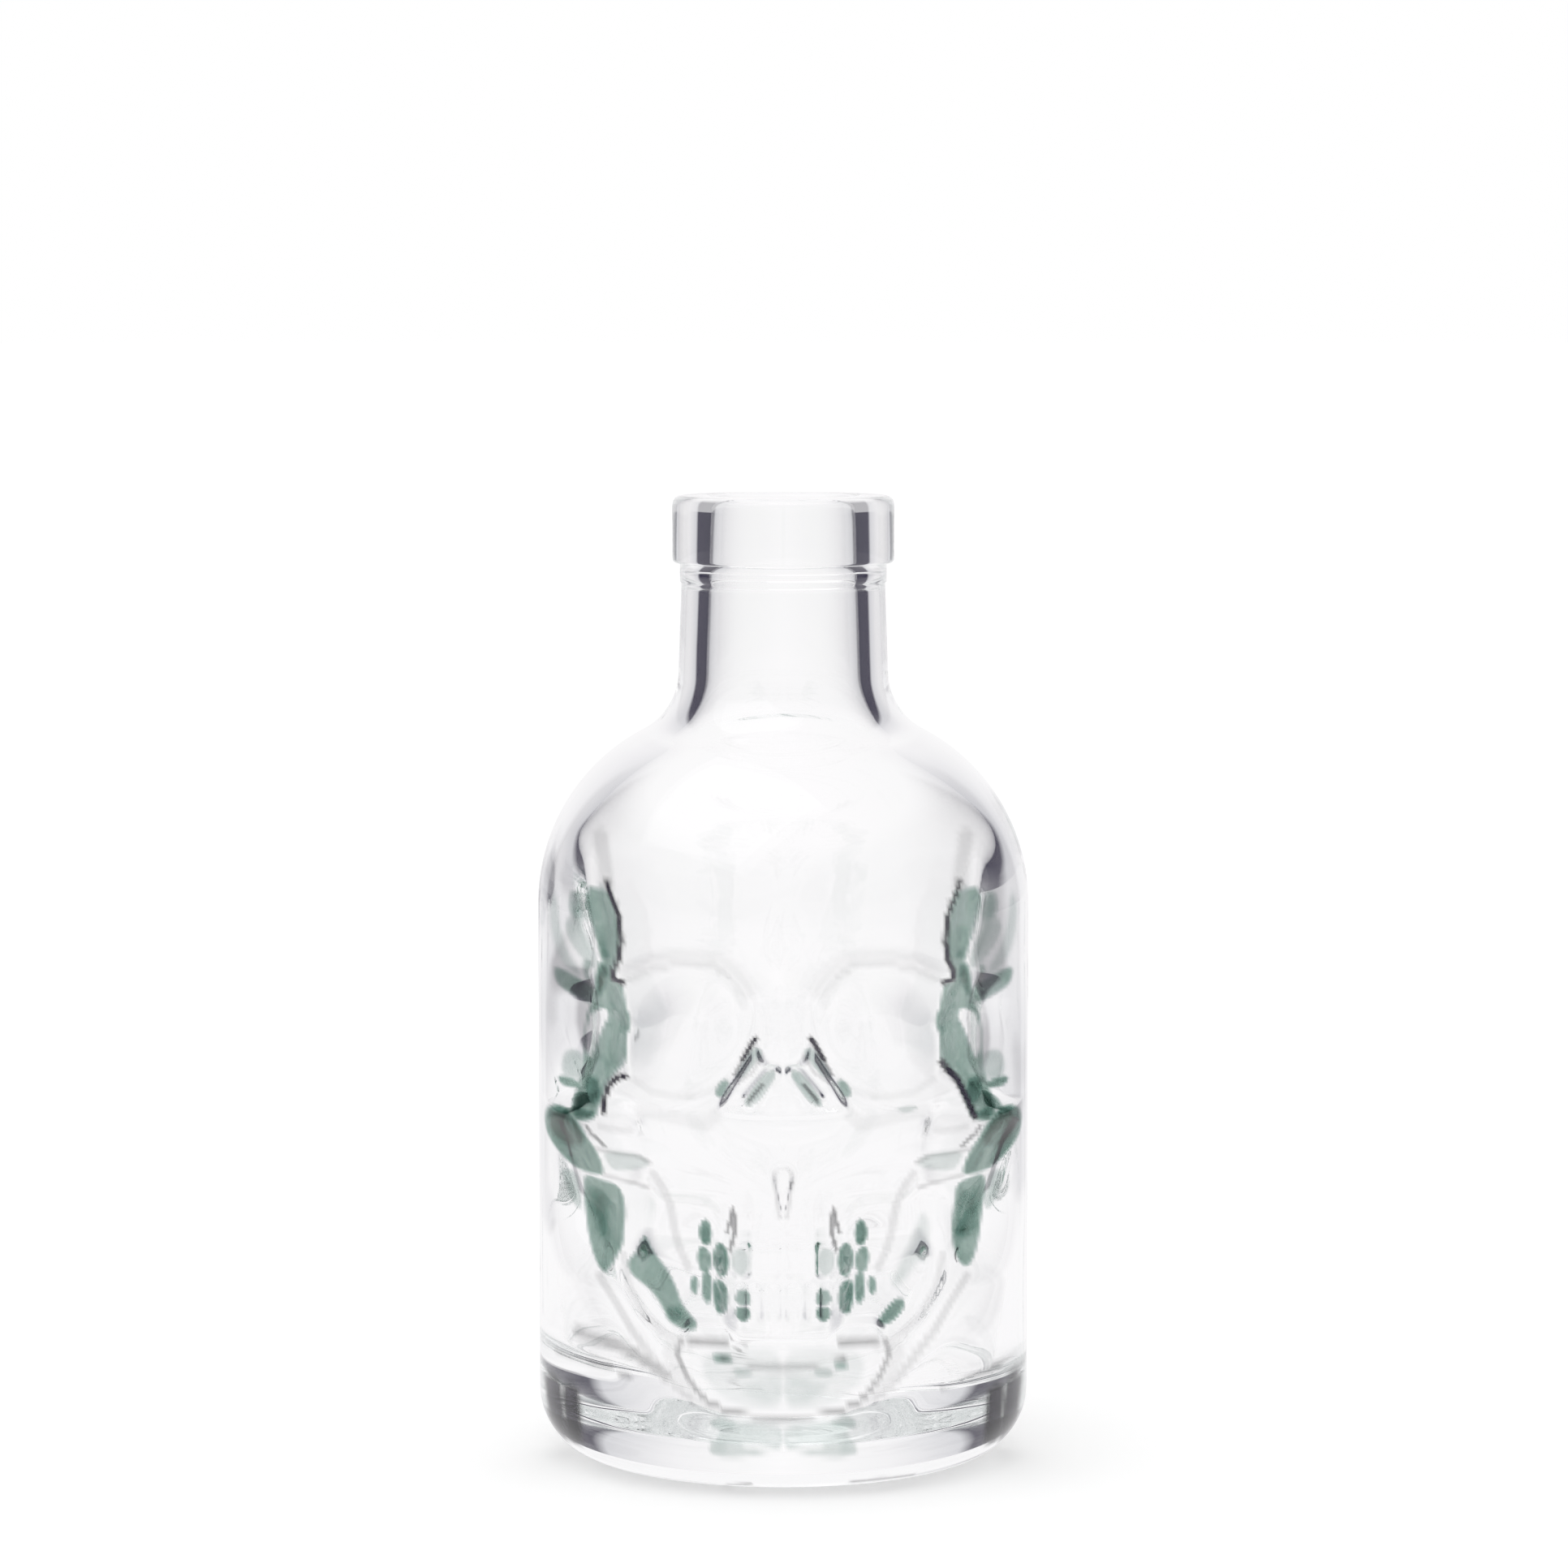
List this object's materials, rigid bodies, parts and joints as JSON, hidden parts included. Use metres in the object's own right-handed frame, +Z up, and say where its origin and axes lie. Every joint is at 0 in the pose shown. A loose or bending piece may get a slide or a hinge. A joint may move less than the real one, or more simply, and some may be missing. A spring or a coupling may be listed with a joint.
{
  "type": "skull bottle",
  "caption": "Clear glass spirit bottle with a cork mouth, round shoulders, a thick base and a skull pressed into the front of its round body.",
  "frame": {"origin": "middle of the base, on the plane that the bearing ring stands on", "axes": "+Z up along the bottle's axis, the skull looks along -Y, and +X is to the right of someone who faces the skull"},
  "size_m": [0.0666, 0.0667, 0.1307],
  "materials": {
    "clear_glass": "fire-polished clear flint glass with a faint green in its thick places"
  },
  "bodies": {
    "root": {"glass_bottle": "clear_glass"}
  },
  "joints": []
}
